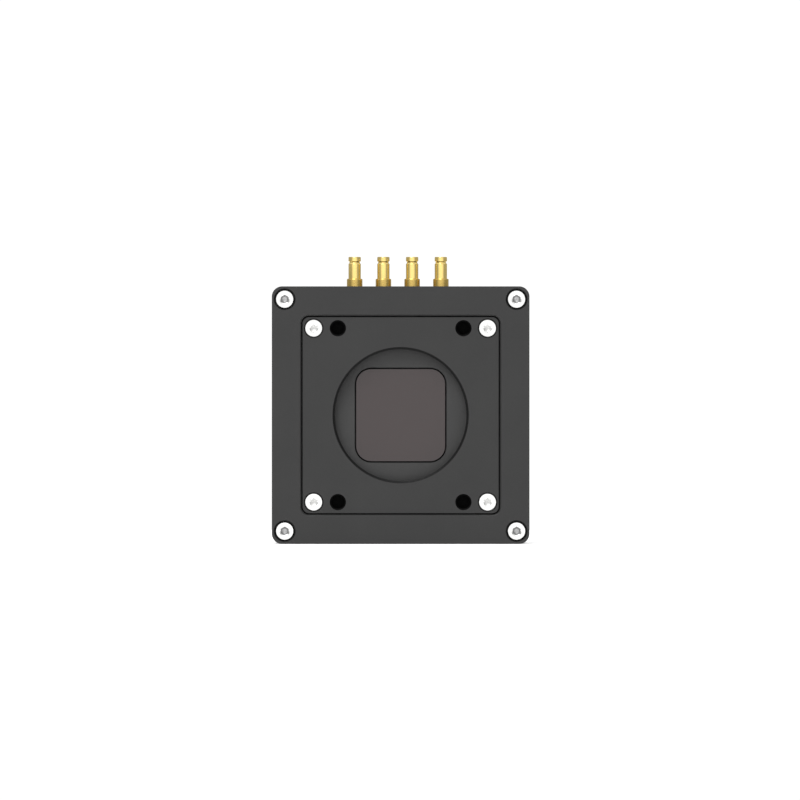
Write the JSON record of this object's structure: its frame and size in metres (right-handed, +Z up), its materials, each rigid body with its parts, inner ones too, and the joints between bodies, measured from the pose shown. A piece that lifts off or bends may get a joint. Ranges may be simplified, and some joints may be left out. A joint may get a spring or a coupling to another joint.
{
  "type": "machine vision camera",
  "caption": "Square machine vision camera with a screwed-on lens mount plate, a coated window over the sensor, grooved side walls and gold coaxial jacks on top.",
  "frame": {"origin": "on the optical axis, in the plane of the plate's front face, where a lens seats", "axes": "the camera looks along -Y; +Z is up, towards the coaxial jacks; +X is on the right of someone facing the lens mount"},
  "size_m": [0.08, 0.0572, 0.0896],
  "materials": {
    "housing": "bead-blasted, dark grey anodised",
    "mount_plate": "bead-blasted, dark grey anodised",
    "screws": "bright stainless steel",
    "filter": "coated, brownish grey",
    "cover_glass": "clear",
    "gasket": "matt black",
    "ceramic": "matt, dark brown",
    "silicon": "polished",
    "gold": "gold plated",
    "thermal_pad": "soft, pale blue grey",
    "heat_spreader": "milled, plain",
    "board": "green solder mask",
    "black_plastic": "moulded",
    "ivory_plastic": "moulded",
    "chip_lid": "nickel plated",
    "ferrite": "moulded powder",
    "capacitor": "moulded, dull yellow",
    "spacer": "nickel plated",
    "insulator": "white fluoropolymer",
    "nickel": "nickel plated",
    "light_pipe": "clear",
    "diode": "clear over a pale chip"
  },
  "bodies": {
    "root": {"front_frame": "housing", "lens_mount_plate": "mount_plate", "mount_plate_screws": "screws", "front_corner_screws": "screws", "filter_glass": "filter", "sensor_gasket": "gasket", "sensor_package": "ceramic", "sensor_die": "silicon", "sensor_cover_glass": "cover_glass", "sensor_thermal_pad": "thermal_pad", "sensor_heat_spreader": "heat_spreader", "sensor_board": "board", "board_spacers": "spacer", "sensor_link_plugs": "ivory_plastic", "sensor_link_sockets": "black_plastic", "processor_board": "board", "processor_chip": "chip_lid", "memory_chips": "black_plastic", "processor_thermal_pad": "thermal_pad", "processor_heat_spreader": "heat_spreader", "interface_link_plugs": "ivory_plastic", "interface_link_sockets": "black_plastic", "middle_housing": "housing", "rear_cover": "housing", "interface_board": "board", "power_inductors": "ferrite", "power_capacitors": "capacitor", "line_drivers": "black_plastic", "receptacle_shell": "nickel", "receptacle_insert": "black_plastic", "receptacle_contacts": "gold", "status_light_pipe": "light_pipe", "status_led": "diode", "coax_jack_1": "gold", "coax_insulator_1": "insulator", "coax_contact_1": "gold", "coax_jack_2": "gold", "coax_insulator_2": "insulator", "coax_contact_2": "gold", "coax_jack_3": "gold", "coax_insulator_3": "insulator", "coax_contact_3": "gold", "coax_jack_4": "gold", "coax_insulator_4": "insulator", "coax_contact_4": "gold"}
  },
  "joints": []
}
